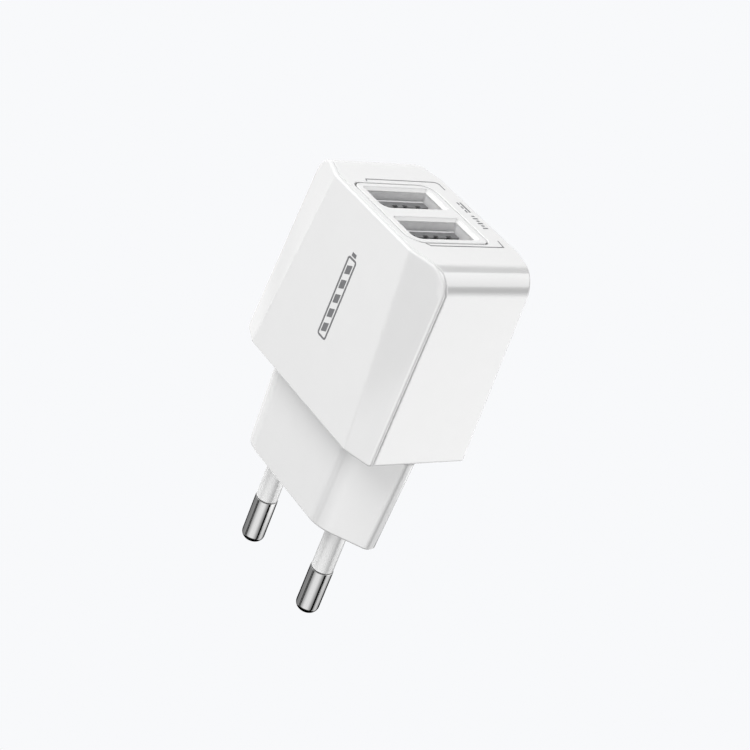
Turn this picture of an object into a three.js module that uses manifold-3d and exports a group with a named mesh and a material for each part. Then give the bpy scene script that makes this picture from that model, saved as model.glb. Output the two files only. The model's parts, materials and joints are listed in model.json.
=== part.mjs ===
// Two-port USB wall charger with a fixed two-pin round plug.
//
// Millimetres, +Z up. The origin is the centre of the plug's engagement face, half way between
// the pins: the pins point to -Z, the USB face is at the top, the faceted front looks to -Y.
// "Left" is -X and "right" is +X.

import * as THREE from 'three';
import { mergeVertices } from 'three/addons/utils/BufferGeometryUtils.js';
import { ConvexGeometry } from 'three/addons/geometries/ConvexGeometry.js';
import Module from 'manifold-3d';

const wasm = await Module();
wasm.setup();

// ---------------------------------------------------------------- driving dimensions

const GAP = 0.3;                  // clearance between pieces that meet
const PAST = 1;                   // how far a cutter runs past what it cuts

// Body: an eight-sided section that changes from the bottom to the USB face.
const BODY_BOTTOM = 18.0;
const BODY_TOP = 51.6;
const BODY_CORNER = 4.0;          // rounding of the two long edges beside the USB face
const BOTTOM_SECTION = {
  halfWidth: 19.5,
  front: -10.5, flatHalf: 14.9, frontCorner: -8.6,
  back: 11.7, backHalf: 12.6, backCorner: 10.05,
};
const TOP_SECTION = {
  halfWidth: 18.5,
  front: -9.6, flatHalf: 10.9, frontCorner: -7.0,
  back: 11.7, backHalf: 11.0, backCorner: 9.65,
};
const WALL = 1.8;
const COVER_SKIN = 0.4;           // the cover's visible rim in front of the seam
const COVER_DEPTH = 1.6;          // the cover's full thickness, inside the walls

// Plug: a flattened hexagon that widens a little towards the body.
const PLUG_FACE_SECTION = { halfWidth: 18.0, endHalf: 0.8, flatHalf: 11.4, halfDepth: 6.6 };
const PLUG_ROOT_SECTION = { halfWidth: 19.0, endHalf: 0.8, flatHalf: 11.9, halfDepth: 6.7 };
const PLUG_WALL = 1.6;
const PLUG_END_WALL_SHARE = 1.5;  // the two blunt ends are this many times as thick
const PLUG_FACE_WALL = 2.4;
const NECK = { halfWidth: 15.5, halfDepth: 4.9, wall: 1.4, corner: 3.0 };
const FLANGE = { width: 0.7, thickness: 0.8 };

// Pins: 4 mm round pins, 19 mm apart and 19 mm long, sleeved next to the face.
const PIN_SPACING = 19.0;
const PIN_RADIUS = 2.0;
const PIN_LENGTH = 19.0;
const PIN_TIP_ROUNDING = 1.4;
const PIN_CORE_RADIUS = 1.2;
const SLEEVE_RADIUS = 1.9;
const SLEEVE_END = -10.2;
const COLLAR_RADIUS = 2.8;
const RETAINER = { bottom: 3.7, top: 6.5 };
const PIN_HEAD = { radius: 2.4, bottom: 6.8, top: 8.6 };

// USB ports
const PORT_CENTRE = 4.5;          // each port's middle, from the charger's middle
const PORT_MOUTH = { halfX: 3.0, halfY: 6.2, roundCorner: 1.5, corner: 0.4 };
const SHELL = { halfX: 3.2, halfY: 6.55, wall: 0.3, corner: 0.7, top: 50.6 };
const TONGUE = { back: -2.2, front: -0.36, halfY: 5.55, top: 49.45 };
const TONGUE_NOTCH = { back: -0.87, depth: 0.3 };   // where a contact's tip shows from above
const CONTACT_Y = [-3.5, -1.0, 1.0, 3.5];
const CONTACT_WIDTH = 1.0;
const CONTACT_THICKNESS = 0.2;
const CONTACT_ROOT = { x: -0.92, z: 41.3 };   // each contact flexes back about this line
const CONTACT_TRAVEL = 0.6;       // room behind a contact for that

// Bezel round the ports
const BEZEL = { halfX: 8.7, halfY: 7.5, roundCorner: 2.6, corner: 1.3, bottom: 48.6, lip: 0.7 };
const EAR = { halfX: 9.6, halfY: 4.5 };

// Boards
const BOARD_THICKNESS = 1.2;
const USB_BOARD = { halfX: 15.8, front: -6.6, back: 8.0, bottom: 35.8 };
const USB_BOARD_TOP = USB_BOARD.bottom + BOARD_THICKNESS;
const MAIN_BOARD = { halfX: 16.2, front: 7.0, bottom: 21.2, top: 35.5 };
const MAIN_BOARD_BACK = MAIN_BOARD.front + BOARD_THICKNESS;
const RAIL = { thickness: 0.8, overlap: 0.6, reach: 2, endMargin: 2 };

// ---------------------------------------------------------------- finishes

const WHITE_GLOSS = { color: 0xf0f1f3, roughness: 0.22, metalness: 0 };
const WHITE_SATIN = { color: 0xeeeff1, roughness: 0.45, metalness: 0 };
const NICKEL = { color: 0xb4b2ae, roughness: 0.25, metalness: 1 };
const STEEL = { color: 0xa9abae, roughness: 0.35, metalness: 1 };
const GOLD = { color: 0xd9b25a, roughness: 0.3, metalness: 1 };
const COPPER = { color: 0xb87040, roughness: 0.4, metalness: 1 };
const BLACK_PLASTIC = { color: 0x1b1c1e, roughness: 0.5, metalness: 0 };
const GREEN_BOARD = { color: 0x1f5b3a, roughness: 0.5, metalness: 0 };
const FERRITE = { color: 0x33353a, roughness: 0.6, metalness: 0 };
const YELLOW_TAPE = { color: 0xe0c04a, roughness: 0.4, metalness: 0 };
const CAPACITOR_SLEEVE = { color: 0x2b3350, roughness: 0.4, metalness: 0 };
const BLUE_EPOXY = { color: 0x3c6fb0, roughness: 0.4, metalness: 0 };
const GREY_EPOXY = { color: 0x7f9a8c, roughness: 0.5, metalness: 0 };
const CLEAR_FILM = { color: 0xd8d4c4, roughness: 0.35, metalness: 0 };

// ---------------------------------------------------------------- solids

// A closed three.js geometry as a solid that can be joined and cut.
function solid(geometry) {
  const bare = geometry.clone();
  bare.deleteAttribute('normal');
  bare.deleteAttribute('uv');
  const merged = mergeVertices(bare, 1e-4);
  const positions = merged.attributes.position.array;
  const corners = merged.index.array;
  const triangles = [];
  for (let i = 0; i < corners.length; i += 3) {
    const [a, b, c] = corners.slice(i, i + 3);
    if (a !== b && b !== c && c !== a) triangles.push(a, b, c);
  }
  const outward = signedVolume(positions, triangles) > 0;
  const triVerts = Uint32Array.from(outward ? triangles : triangles.reverse());
  return new wasm.Manifold(new wasm.Mesh({ numProp: 3, vertProperties: positions, triVerts }));
}

function signedVolume(positions, triangles) {
  const corner = (index) => new THREE.Vector3().fromArray(positions, 3 * index);
  let volume = 0;
  for (let i = 0; i < triangles.length; i += 3) {
    const [a, b, c] = triangles.slice(i, i + 3).map(corner);
    volume += a.dot(b.cross(c)) / 6;
  }
  return volume;
}

function geometryOf(body) {
  const { vertProperties, triVerts } = body.getMesh();
  const geometry = new THREE.BufferGeometry();
  geometry.setAttribute('position', new THREE.BufferAttribute(vertProperties, 3));
  geometry.setIndex(new THREE.BufferAttribute(triVerts, 1));
  geometry.computeVertexNormals();
  return geometry;
}

function join(...bodies) {
  return bodies.reduce((whole, body) => whole.add(body));
}

function cut(body, ...cutters) {
  return cutters.reduce((rest, cutter) => rest.subtract(cutter), body);
}

// A block between two corners.
function block([x0, y0, z0], [x1, y1, z1]) {
  const geometry = new THREE.BoxGeometry(x1 - x0, y1 - y0, z1 - z0);
  geometry.translate((x0 + x1) / 2, (y0 + y1) / 2, (z0 + z1) / 2);
  return solid(geometry);
}

// A flat outline raised from z0 to z1.
function prism(shape, z0, z1, curveSegments = 6) {
  const geometry = new THREE.ExtrudeGeometry(shape, { depth: z1 - z0, bevelEnabled: false, curveSegments });
  geometry.translate(0, 0, z0);
  return solid(geometry);
}

// An outline drawn in X and Z, from y0 to y1.
function prismAlongY(shape, y0, y1, curveSegments = 6) {
  const geometry = new THREE.ExtrudeGeometry(shape, { depth: y1 - y0, bevelEnabled: false, curveSegments });
  geometry.rotateX(Math.PI / 2);
  geometry.translate(0, y1, 0);
  return solid(geometry);
}

// An outline drawn in Y and Z, from x0 to x1.
function prismAlongX(shape, x0, x1, curveSegments = 6) {
  const geometry = new THREE.ExtrudeGeometry(shape, { depth: x1 - x0, bevelEnabled: false, curveSegments });
  geometry.rotateX(Math.PI / 2);
  geometry.rotateZ(Math.PI / 2);
  geometry.translate(x0, 0, 0);
  return solid(geometry);
}

// A turned shape about Z, from [radius, z] points that start and end on the axis.
function turned(profile, segments = 24) {
  const points = profile.map(([radius, z]) => new THREE.Vector2(radius, z));
  const geometry = new THREE.LatheGeometry(points, segments);
  geometry.rotateX(Math.PI / 2);
  return solid(geometry);
}

function turnedAt(profile, x, segments = 24) {
  return turned(profile, segments).translate([x, 0, 0]);
}

function cylinderProfile(radius, z0, z1) {
  return [[0, z0], [radius, z0], [radius, z1], [0, z1]];
}

function polygon(points) {
  return new THREE.Shape(points.map(([x, y]) => new THREE.Vector2(x, y)));
}

// A rectangle whose corners are rounded one by one, from (+x, -y) anticlockwise.
function roundedRectangle(halfX, halfY, [rightFront, rightBack, leftBack, leftFront]) {
  const quarter = Math.PI / 2;
  const shape = new THREE.Shape();
  shape.absarc(halfX - rightFront, -halfY + rightFront, rightFront, -quarter, 0);
  shape.absarc(halfX - rightBack, halfY - rightBack, rightBack, 0, quarter);
  shape.absarc(-halfX + leftBack, halfY - leftBack, leftBack, quarter, 2 * quarter);
  shape.absarc(-halfX + leftFront, -halfY + leftFront, leftFront, 2 * quarter, 3 * quarter);
  return shape;
}

// A convex outline (anticlockwise) with each edge moved inwards by its own distance.
// Edge i runs from point i to point i + 1.
function movedIn(points, distances) {
  const edges = points.map(([x, y], i) => {
    const [nextX, nextY] = points[(i + 1) % points.length];
    const length = Math.hypot(nextX - x, nextY - y);
    const normal = [-(nextY - y) / length, (nextX - x) / length];
    return { normal, offset: normal[0] * x + normal[1] * y + distances[i] };
  });
  return edges.map((edge, i) => {
    const before = edges[(i + edges.length - 1) % edges.length];
    const [a, b] = before.normal;
    const [c, d] = edge.normal;
    const det = a * d - b * c;
    return [(before.offset * d - b * edge.offset) / det, (a * edge.offset - before.offset * c) / det];
  });
}

// The straight-sided solid between two outlines at two heights.
function loft(lower, z0, upper, z1) {
  const at = (points, z) => points.map(([x, y]) => new THREE.Vector3(x, y, z));
  return solid(new ConvexGeometry([...at(lower, z0), ...at(upper, z1)]));
}

// ---------------------------------------------------------------- the body's envelope

// The eight corners of a body section, anticlockwise from the front flat's left end.
function bodyOutline(section) {
  const { halfWidth, flatHalf, front, frontCorner, backCorner, backHalf, back } = section;
  return [
    [-flatHalf, front], [flatHalf, front], [halfWidth, frontCorner], [halfWidth, backCorner],
    [backHalf, back], [-backHalf, back], [-halfWidth, backCorner], [-halfWidth, frontCorner],
  ];
}

// The section at any height, on straight lines between the two end sections.
function sectionAt(z) {
  const share = (z - BODY_BOTTOM) / (BODY_TOP - BODY_BOTTOM);
  const mix = (key) => THREE.MathUtils.lerp(BOTTOM_SECTION[key], TOP_SECTION[key], share);
  return Object.fromEntries(Object.keys(TOP_SECTION).map((key) => [key, mix(key)]));
}

// The body between two heights, with its front, sides and back moved in by three distances.
function bodyBlock(z0, z1, frontIn, sideIn, backIn) {
  const distances = [frontIn, frontIn, sideIn, backIn, backIn, backIn, sideIn, frontIn];
  const outline = (z) => movedIn(bodyOutline(sectionAt(z)), distances);
  return loft(outline(z0), z0, outline(z1), z1);
}

// The side view of the body from the front, with its two upper corners rounded.
function roundedFrontView() {
  const lean = Math.atan2(BOTTOM_SECTION.halfWidth - TOP_SECTION.halfWidth, BODY_TOP - BODY_BOTTOM);
  const centreZ = BODY_TOP - BODY_CORNER;
  const reach = BODY_CORNER + (centreZ - BODY_BOTTOM) * Math.sin(lean);
  const centreX = BOTTOM_SECTION.halfWidth - reach / Math.cos(lean);
  const shape = new THREE.Shape();
  shape.moveTo(-BOTTOM_SECTION.halfWidth - PAST, BODY_BOTTOM - PAST);
  shape.lineTo(BOTTOM_SECTION.halfWidth + PAST, BODY_BOTTOM - PAST);
  shape.lineTo(BOTTOM_SECTION.halfWidth, BODY_BOTTOM);
  shape.absarc(centreX, centreZ, BODY_CORNER, lean, Math.PI / 2);
  shape.absarc(-centreX, centreZ, BODY_CORNER, Math.PI / 2, Math.PI - lean);
  shape.lineTo(-BOTTOM_SECTION.halfWidth, BODY_BOTTOM);
  return shape;
}

function bodyEnvelope() {
  const faceted = bodyBlock(BODY_BOTTOM, BODY_TOP, 0, 0, 0);
  return faceted.intersect(prismAlongY(roundedFrontView(), -20, 20, 8));
}

// ---------------------------------------------------------------- casing

// The thin rim follows the facets in front of the seam, and the thicker middle fits inside the walls.
function frontCover() {
  const behindSkin = bodyBlock(BODY_BOTTOM - PAST, BODY_TOP + PAST, COVER_SKIN, -PAST, -PAST);
  const skin = cut(bodyEnvelope(), behindSkin);
  const edge = WALL + GAP;
  const bottom = BODY_BOTTOM + edge;
  const top = BODY_TOP - edge;
  const middle = cut(
    bodyBlock(bottom, top, COVER_SKIN / 2, edge, edge),
    bodyBlock(bottom - PAST, top + PAST, COVER_DEPTH, edge - PAST, edge - PAST),
  );
  return join(skin, middle);
}

function bezelOutline(grow) {
  const { halfX, halfY, roundCorner, corner } = BEZEL;
  const round = roundCorner + grow;
  const small = corner + grow;
  return roundedRectangle(halfX + grow, halfY + grow, [round, small, round, small]);
}

function neckOutline(grow) {
  const corner = NECK.corner + grow;
  return roundedRectangle(NECK.halfWidth + grow, NECK.halfDepth + grow, [corner, corner, corner, corner]);
}

// A box open to the front, with a window for the bezel above and one for the plug's neck below.
function rearHousing() {
  const behindSeam = bodyBlock(BODY_BOTTOM - PAST, BODY_TOP + PAST, COVER_SKIN + GAP, -PAST, -PAST);
  const cavity = bodyBlock(BODY_BOTTOM + WALL, BODY_TOP - WALL, -PAST, WALL, WALL);
  const shell = cut(
    bodyEnvelope().intersect(behindSeam),
    cavity,
    prism(bezelOutline(GAP), BODY_TOP - WALL - PAST, BODY_TOP + PAST),
    prism(neckOutline(GAP), BODY_BOTTOM - PAST, BODY_BOTTOM + WALL + PAST),
  );
  return join(shell, ...boardRails());
}

// Two pairs of rails inside the side walls hold the main board's edges.
function boardRails() {
  const bottom = MAIN_BOARD.bottom + RAIL.endMargin;
  const top = MAIN_BOARD.top - RAIL.endMargin;
  const inner = MAIN_BOARD.halfX - RAIL.overlap;
  const outer = MAIN_BOARD.halfX + RAIL.reach;
  const rails = [];
  for (const y of [MAIN_BOARD.front - GAP - RAIL.thickness, MAIN_BOARD_BACK + GAP]) {
    rails.push(block([-outer, y, bottom], [-inner, y + RAIL.thickness, top]));
    rails.push(block([inner, y, bottom], [outer, y + RAIL.thickness, top]));
  }
  return rails;
}

function plugOutline({ halfWidth, endHalf, flatHalf, halfDepth }) {
  return [
    [-flatHalf, -halfDepth], [flatHalf, -halfDepth], [halfWidth, -endHalf], [halfWidth, endHalf],
    [flatHalf, halfDepth], [-flatHalf, halfDepth], [-halfWidth, endHalf], [-halfWidth, -endHalf],
  ];
}

// The insets of the outline's eight edges: the blunt ends move in further than the sides.
function plugInsets(inset) {
  const half = [inset, inset, inset * PLUG_END_WALL_SHARE, inset];
  return [...half, ...half];
}

function plugBlock(z0, z1, inset) {
  const inward = plugInsets(inset);
  const lower = movedIn(plugOutline(PLUG_FACE_SECTION), inward);
  const upper = movedIn(plugOutline(PLUG_ROOT_SECTION), inward);
  return loft(lower, z0, upper, z1);
}

// The hollow plug body, its neck through the housing's floor, and the flange that keeps it there.
function plugShell() {
  const root = BODY_BOTTOM - GAP;
  const flangeBottom = BODY_BOTTOM + WALL + GAP;
  const neckTop = flangeBottom + FLANGE.thickness;
  const pinHole = (x) => turnedAt(cylinderProfile(SLEEVE_RADIUS + GAP, -PAST, PLUG_FACE_WALL + PAST), x);
  return cut(
    join(
      plugBlock(0, root, 0),
      prism(neckOutline(0), root - PAST, neckTop),
      prism(neckOutline(FLANGE.width), flangeBottom, neckTop),
    ),
    plugBlock(PLUG_FACE_WALL, root - PLUG_WALL, PLUG_WALL),
    prism(neckOutline(-NECK.wall), root - PLUG_WALL - PAST, neckTop + PAST),
    pinHole(-PIN_SPACING / 2),
    pinHole(PIN_SPACING / 2),
  );
}

// The plate that clamps the sleeves' collars, with the pins' heads resting on it.
function pinRetainer() {
  const outline = movedIn(plugOutline(PLUG_FACE_SECTION), plugInsets(PLUG_WALL + GAP));
  const hole = cylinderProfile(PIN_CORE_RADIUS + GAP, RETAINER.bottom - PAST, RETAINER.top + PAST);
  return cut(
    prism(polygon(outline), RETAINER.bottom, RETAINER.top),
    turnedAt(hole, -PIN_SPACING / 2, 16),
    turnedAt(hole, PIN_SPACING / 2, 16),
  );
}

function pin() {
  const shoulder = SLEEVE_END - GAP;
  const tipSteps = 6;
  const tip = [];
  for (let i = 0; i <= tipSteps; i += 1) {
    const angle = (Math.PI / 2) * (i / tipSteps);
    tip.push([
      PIN_RADIUS - PIN_TIP_ROUNDING * (1 - Math.sin(angle)),
      -PIN_LENGTH + PIN_TIP_ROUNDING * (1 - Math.cos(angle)),
    ]);
  }
  return turned([
    [0, -PIN_LENGTH], ...tip,
    [PIN_RADIUS, shoulder], [PIN_CORE_RADIUS, shoulder], [PIN_CORE_RADIUS, PIN_HEAD.bottom],
    [PIN_HEAD.radius, PIN_HEAD.bottom], [PIN_HEAD.radius, PIN_HEAD.top], [0, PIN_HEAD.top],
  ]);
}

function pinSleeve() {
  const bore = PIN_CORE_RADIUS + GAP;
  const collarBottom = PLUG_FACE_WALL + GAP;
  const collarTop = RETAINER.bottom - GAP;
  return turned([
    [bore, SLEEVE_END], [SLEEVE_RADIUS, SLEEVE_END], [SLEEVE_RADIUS, collarBottom],
    [COLLAR_RADIUS, collarBottom], [COLLAR_RADIUS, collarTop], [bore, collarTop], [bore, SLEEVE_END],
  ]);
}

// The plate with the two port mouths, its pockets for the shells and its two ears under the roof.
function portBezel() {
  const { halfX, halfY, roundCorner, corner } = PORT_MOUTH;
  const mouthShape = roundedRectangle(halfX, halfY, [roundCorner, corner, corner, corner]);
  const mouth = prism(mouthShape, BEZEL.bottom - PAST, BODY_TOP + PAST);
  const pocketCorners = Array(4).fill(SHELL.corner + GAP);
  const pocketShape = roundedRectangle(SHELL.halfX + GAP, SHELL.halfY + GAP, pocketCorners);
  const pocket = prism(pocketShape, BEZEL.bottom - PAST, BODY_TOP - BEZEL.lip);
  const port = join(mouth, pocket);
  const ears = block(
    [-EAR.halfX, -EAR.halfY, BEZEL.bottom],
    [EAR.halfX, EAR.halfY, BODY_TOP - WALL - GAP],
  );
  return cut(
    join(prism(bezelOutline(0), BEZEL.bottom, BODY_TOP), ears),
    port.translate([-PORT_CENTRE, 0, 0]),
    port.translate([PORT_CENTRE, 0, 0]),
  );
}

// ---------------------------------------------------------------- one USB port, about its own middle

function usbShell() {
  const { halfX, halfY, wall, corner, top } = SHELL;
  const bottom = USB_BOARD_TOP + GAP;
  const outside = roundedRectangle(halfX, halfY, Array(4).fill(corner));
  const inside = roundedRectangle(halfX - wall, halfY - wall, Array(4).fill(corner - wall));
  return cut(prism(outside, bottom, top, 3), prism(inside, bottom - PAST, top + PAST, 3));
}

// The block in the shell's bottom and the tongue on it, with a slot for each contact.
function usbInsulator() {
  const inset = SHELL.wall + GAP;
  const bottom = USB_BOARD_TOP + GAP;
  const shoulder = CONTACT_ROOT.z + CONTACT_THICKNESS / 2;
  const baseX = SHELL.halfX - inset;
  const baseY = SHELL.halfY - inset;
  const { back, front, halfY, top } = TONGUE;
  const base = block([-baseX, -baseY, bottom], [baseX, baseY, shoulder]);
  const tongue = block([back, -halfY, shoulder - PAST], [front, halfY, top]);
  const slotHalf = CONTACT_WIDTH / 2 + GAP;
  const slotBack = CONTACT_ROOT.x - CONTACT_THICKNESS / 2 - CONTACT_TRAVEL;
  const slotTop = top - TONGUE_NOTCH.depth;
  const notchHalf = CONTACT_WIDTH / 2;
  const slots = CONTACT_Y.map((y) => join(
    block([slotBack, y - slotHalf, bottom - PAST], [front, y + slotHalf, shoulder + PAST]),
    block([slotBack, y - slotHalf, shoulder], [front + PAST, y + slotHalf, slotTop]),
    block([TONGUE_NOTCH.back, y - notchHalf, slotTop - PAST], [front + PAST, y + notchHalf, top + PAST]),
  ));
  return cut(join(base, tongue), ...slots);
}

// A leaf spring: a straight tail, a bow that meets the plug, and a tip tucked back into its slot.
function usbContact() {
  const { x, z } = CONTACT_ROOT;
  const bow = [[x + 0.85, z + 4.6], [x + 1.1, z + 5.7], [x + 0.85, z + 6.6], [x + 0.1, z + 7.5]];
  const path = [[x, USB_BOARD_TOP + GAP], [x, z + 0.4], ...bow];
  const half = CONTACT_THICKNESS / 2;
  const front = path.map(([px, pz]) => [px + half, pz]);
  const back = path.map(([px, pz]) => [px - half, pz]).reverse();
  return prismAlongY(polygon([...front, ...back]), -CONTACT_WIDTH / 2, CONTACT_WIDTH / 2);
}

// ---------------------------------------------------------------- electronics

// A round can lying along Y with its two leads towards +Y, from the can's front end.
function canCapacitor() {
  const radius = 3.1;
  const length = 11.0;
  const leadEnd = length + 0.7;
  const can = turned([
    [0, 0], [radius - 0.4, 0], [radius, 0.4], [radius, length - 2.2], [radius - 0.35, length - 1.8],
    [radius, length - 1.4], [radius, length - 0.3], [radius - 0.3, length], [0, length],
  ], 20);
  const lead = (x) => turnedAt(cylinderProfile(0.3, length - 0.5, leadEnd), x, 8);
  return join(can, lead(-1.25), lead(1.25)).rotate([-90, 0, 0]);
}

function eCore() {
  const reach = 6.4;
  const inside = -4.1;
  const halfHeight = 6.5;
  const outerLeg = 4.3;
  const centreHalf = 1.3;
  const halfDepth = 2.5;
  const end = -GAP / 2;
  return prismAlongY(polygon([
    [-reach, -halfHeight], [end, -halfHeight], [end, -outerLeg], [inside, -outerLeg],
    [inside, -centreHalf], [end, -centreHalf], [end, centreHalf], [inside, centreHalf],
    [inside, outerLeg], [end, outerLeg], [end, halfHeight], [-reach, halfHeight],
  ]), -halfDepth, halfDepth);
}

function bobbin() {
  const flange = (x) => block([x, -5.6, -4.0], [x + 0.5, 5.6, 4.0]);
  const tube = block([-3.8, -3.3, -2.0], [3.8, 3.3, 2.0]);
  return cut(join(tube, flange(-3.8), flange(3.3)), block([-5, -2.8, -1.6], [5, 2.8, 1.6]));
}

function transformerWinding() {
  return cut(block([-3.0, -5.2, -3.7], [3.0, 5.2, 3.7]), block([-4, -3.6, -2.3], [4, 3.6, 2.3]));
}

// A disc standing in Y and Z with two leads to +Y.
function discCapacitor() {
  const rim = [[2.9, -1.1], [3.4, -0.6], [3.4, 0.6], [2.9, 1.1]];
  const disc = turned([[0, -1.1], ...rim, [0, 1.1]], 20).rotate([0, 90, 0]);
  const lead = (z) => block([-0.3, 2.0, z - 0.3], [0.3, 4.5, z + 0.3]);
  return join(disc, lead(-1.8), lead(1.8));
}

function axialResistor() {
  const profile = [
    [0, -7.4], [0.3, -7.4], [0.3, -4.2], [1.2, -4.0], [1.4, -3.4], [1.25, -2.6],
    [1.25, 2.6], [1.4, 3.4], [1.2, 4.0], [0.3, 4.2], [0.3, 7.4], [0, 7.4],
  ];
  return turned(profile, 16).rotate([0, 90, 0]);
}

function chokeCore() {
  return turned([[0, 0], [2.6, 0], [2.6, 0.8], [1.2, 0.8], [1.2, 4.4], [2.6, 4.4], [2.6, 5.2], [0, 5.2]]);
}

function chokeWinding() {
  return turned([[1.5, 1.1], [2.4, 1.1], [2.4, 4.1], [1.5, 4.1], [1.5, 1.1]], 20);
}

// A bent strip from a pin's head, up through the neck and back to the main board.
function acContact() {
  const thickness = 0.4;
  const low = PIN_HEAD.top + GAP;
  const high = MAIN_BOARD.bottom + 0.4;
  const end = MAIN_BOARD.front - GAP;
  return prismAlongX(polygon([
    [-2.0, low], [2.0, low], [2.0, high - thickness], [end, high - thickness],
    [end, high], [2.0 - thickness, high], [2.0 - thickness, low + thickness], [-2.0, low + thickness],
  ]), -1.5, 1.5);
}

// A moulded chip with a row of leads at each end of X, flat on the board behind it.
function chip(halfX, halfZ, leadCount) {
  const body = block([-halfX, 0.15, -halfZ], [halfX, 1.1, halfZ]);
  const leads = [];
  for (let i = 0; i < leadCount; i += 1) {
    const z = ((i + 0.5) / leadCount - 0.5) * 2 * halfZ;
    leads.push(block([-halfX - 0.7, 0, z - 0.2], [halfX + 0.7, 0.4, z + 0.2]));
  }
  return join(body, ...leads);
}

// An L-shaped strip that takes the output from the main board up to the port board.
function outputLink() {
  const top = USB_BOARD.bottom - GAP;
  return prismAlongX(polygon([
    [4.6, top - 0.4], [6.3, top - 0.4], [6.3, 33.2], [6.7, 33.2], [6.7, top], [4.6, top],
  ]), -0.8, 0.8);
}

function mainBoard() {
  const { halfX, front, bottom, top } = MAIN_BOARD;
  return block([-halfX, front, bottom], [halfX, MAIN_BOARD_BACK, top]);
}

function usbBoard() {
  const { halfX, front, back, bottom } = USB_BOARD;
  return block([-halfX, front, bottom], [halfX, back, USB_BOARD_TOP]);
}

// ---------------------------------------------------------------- assembly

const charger = new THREE.Group();

function place(parent, name, body, finish, position = [0, 0, 0]) {
  const mesh = new THREE.Mesh(geometryOf(body), new THREE.MeshStandardMaterial(finish));
  mesh.name = name;
  mesh.position.set(...position);
  parent.add(mesh);
  return mesh;
}

function addCasing() {
  place(charger, 'rear_housing', rearHousing(), WHITE_GLOSS);
  place(charger, 'front_cover', frontCover(), WHITE_GLOSS);
  place(charger, 'port_bezel', portBezel(), WHITE_GLOSS);
  place(charger, 'plug_shell', plugShell(), WHITE_GLOSS);
  place(charger, 'pin_retainer', pinRetainer(), WHITE_SATIN);
}

function addPins() {
  for (const [side, sign] of [['left', -1], ['right', 1]]) {
    const group = new THREE.Group();
    group.position.x = sign * PIN_SPACING / 2;
    charger.add(group);
    place(group, `pin_${side}`, pin(), NICKEL);
    place(group, `pin_sleeve_${side}`, pinSleeve(), WHITE_SATIN);
    place(group, `ac_contact_${side}`, acContact(), STEEL);
  }
}

function addPorts() {
  for (const [side, sign] of [['left', -1], ['right', 1]]) {
    const group = new THREE.Group();
    group.position.x = sign * PORT_CENTRE;
    charger.add(group);
    place(group, `usb_shell_${side}`, usbShell(), STEEL);
    place(group, `usb_insulator_${side}`, usbInsulator(), BLACK_PLASTIC);
    CONTACT_Y.forEach((y, i) => place(group, `usb_contact_${side}_${i + 1}`, usbContact(), GOLD, [0, y, 0]));
  }
}

function addTransformer() {
  const group = new THREE.Group();
  group.position.set(1.5, 1.0, 28.2);
  charger.add(group);
  place(group, 'transformer_core_left', eCore(), FERRITE);
  place(group, 'transformer_core_right', eCore(), FERRITE).rotation.z = Math.PI;
  place(group, 'transformer_bobbin', bobbin(), BLACK_PLASTIC);
  place(group, 'transformer_winding', transformerWinding(), YELLOW_TAPE);
}

function addMainBoardParts() {
  place(charger, 'main_board', mainBoard(), GREEN_BOARD);
  for (const [level, z] of [['lower', 25.7], ['upper', 32.2]]) {
    place(charger, `input_capacitor_${level}`, canCapacitor(), CAPACITOR_SLEEVE, [-11.6, -5.0, z]);
    place(charger, `output_capacitor_${level}`, canCapacitor(), CAPACITOR_SLEEVE, [12.0, -5.0, z]);
  }
  addTransformer();
  place(charger, 'y_capacitor', discCapacitor(), BLUE_EPOXY, [-6.6, 2.2, 29.0]);
  const behind = MAIN_BOARD_BACK + GAP;
  place(charger, 'bridge_rectifier', chip(1.9, 2.1, 2), BLACK_PLASTIC, [-9.2, behind, 25.0]);
  place(charger, 'primary_controller', chip(2.0, 2.4, 4), BLACK_PLASTIC, [-2.6, behind, 26.0]);
  place(charger, 'feedback_optocoupler', chip(2.2, 1.6, 2), BLACK_PLASTIC, [1.6, behind, 32.0]);
  place(charger, 'output_rectifier', chip(2.0, 2.4, 4), BLACK_PLASTIC, [8.4, behind, 29.0]);
  place(charger, 'insulation_sheet', block([-13, -6.3, 22.5], [13, -6.0, 35.0]), CLEAR_FILM);
}

function addPlugParts() {
  place(charger, 'fuse_resistor', axialResistor(), GREY_EPOXY, [0, 0, 14.6]);
  place(charger, 'choke_core', chokeCore(), FERRITE, [0, 0, 6.9]);
  place(charger, 'choke_winding', chokeWinding(), COPPER, [0, 0, 6.9]);
}

function addPortBoardParts() {
  place(charger, 'usb_board', usbBoard(), GREEN_BOARD);
  const onTop = USB_BOARD_TOP + GAP;
  const portChip = chip(0.7, 1.45, 3).rotate([90, 0, 0]);
  place(charger, 'port_controller', portChip, BLACK_PLASTIC, [12.2, 1.0, onTop]);
  for (const [side, x] of [['left', -11.5], ['right', 12.2]]) {
    const filter = block([-1.6, -1.25, 0], [1.6, 1.25, 1.4]);
    place(charger, `port_filter_capacitor_${side}`, filter, COPPER, [x, -3.6, onTop]);
    place(charger, `output_link_${side}`, outputLink(), STEEL, [side === 'left' ? -5.5 : 8.6, 0, 0]);
  }
}

addCasing();
addPins();
addPorts();
addMainBoardParts();
addPlugParts();
addPortBoardParts();

export default charger;
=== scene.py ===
"""Looks of the two-port USB wall charger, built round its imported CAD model.

Shapes are written in millimetres in the CAD frame (+Z up, pins to -Z, faceted front to -Y) and
scaled to metres as each mesh is made.
"""

import json
import math

import bmesh
import bpy
from mathutils import Matrix, Vector


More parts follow.
